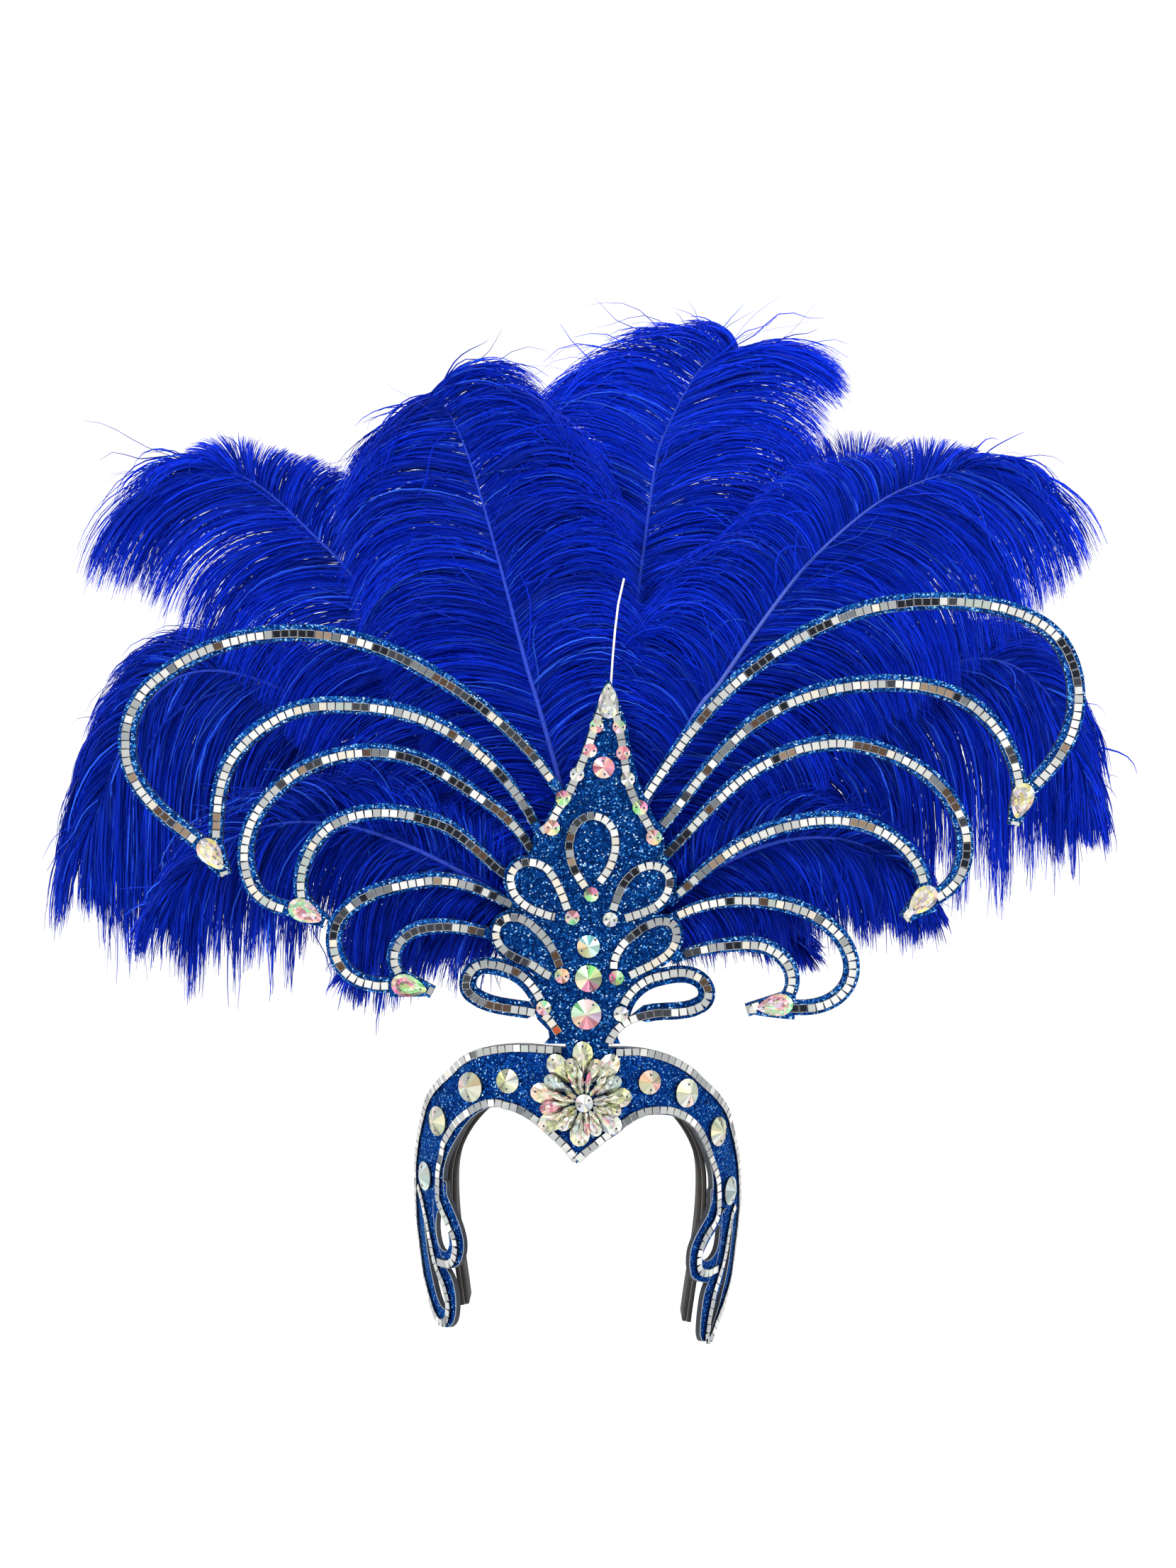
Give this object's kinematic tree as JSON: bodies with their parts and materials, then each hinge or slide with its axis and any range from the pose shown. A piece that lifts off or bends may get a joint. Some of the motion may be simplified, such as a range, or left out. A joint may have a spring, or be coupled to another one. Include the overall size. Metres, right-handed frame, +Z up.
{
  "type": "showgirl feather headdress",
  "caption": "Blue glitter-foam showgirl headdress with scrolled arms, mirror-tile strips and crystal stones in front of a wide fan of ostrich plumes, held on by an over-head hoop.",
  "frame": {"origin": "underside of the over-head hoop at its crown, where the headdress sits on the head", "axes": "+X to the right in a front view, +Y to the back of the head, +Z up"},
  "size_m": [0.7339, 0.1545, 0.6653],
  "materials": {
    "glitter_foam": "blue glitter face on closed-cell foam, grey cut edge",
    "dark_foam": "matt dark closed-cell foam",
    "mirror_tile": "small square mirror tiles in strips",
    "crystal": "faceted sew-on stones with an iridescent coating",
    "plume": "dyed ostrich plume, deep royal blue",
    "quill": "bare pale quill"
  },
  "bodies": {
    "root": {"brow_band": "glitter_foam", "centre_panel": "glitter_foam", "wing_upper_left": "glitter_foam", "wing_middle_left": "glitter_foam", "wing_lower_left": "glitter_foam", "wing_upper_right": "glitter_foam", "wing_middle_right": "glitter_foam", "wing_lower_right": "glitter_foam", "trim_wing_upper_left": "mirror_tile", "trim_wing_middle_left": "mirror_tile", "trim_wing_lower_left": "mirror_tile", "trim_wing_upper_right": "mirror_tile", "trim_wing_middle_right": "mirror_tile", "trim_wing_lower_right": "mirror_tile", "stone_tip_upper_left": "crystal", "stone_tip_middle_left": "crystal", "stone_tip_lower_left": "crystal", "stone_tip_upper_right": "crystal", "stone_tip_middle_right": "crystal", "stone_tip_lower_right": "crystal", "trim_spire": "mirror_tile", "trim_lobe_centre": "mirror_tile", "trim_lobe_upper_left": "mirror_tile", "trim_lobe_upper_right": "mirror_tile", "trim_lobe_middle_left": "mirror_tile", "trim_lobe_middle_right": "mirror_tile", "trim_lobe_lower_left": "mirror_tile", "trim_lobe_lower_right": "mirror_tile", "stone_spire_drop": "crystal", "stone_spire_round": "crystal", "stone_panel_top": "crystal", "stone_panel_middle": "crystal", "stone_panel_bottom": "crystal", "trim_brow_heart": "mirror_tile", "trim_brow_left": "mirror_tile", "trim_brow_right": "mirror_tile", "stone_brow_left_1": "crystal", "stone_brow_left_2": "crystal", "stone_brow_left_3": "crystal", "stone_brow_left_4": "crystal", "stone_brow_right_1": "crystal", "stone_brow_right_2": "crystal", "stone_brow_right_3": "crystal", "stone_brow_right_4": "crystal", "rosette": "crystal", "head_hoop": "dark_foam", "plume_post": "dark_foam", "plume_top_left": "plume", "plume_top_right": "plume", "plume_left_high": "plume", "plume_right_high": "plume", "plume_left_wide": "plume", "plume_right_wide": "plume", "plume_left_low": "plume", "plume_right_low": "plume", "plume_left_under": "plume", "plume_right_under": "plume", "plume_back_right": "plume", "plume_back_middle": "plume", "bare_quill": "quill"}
  },
  "joints": []
}
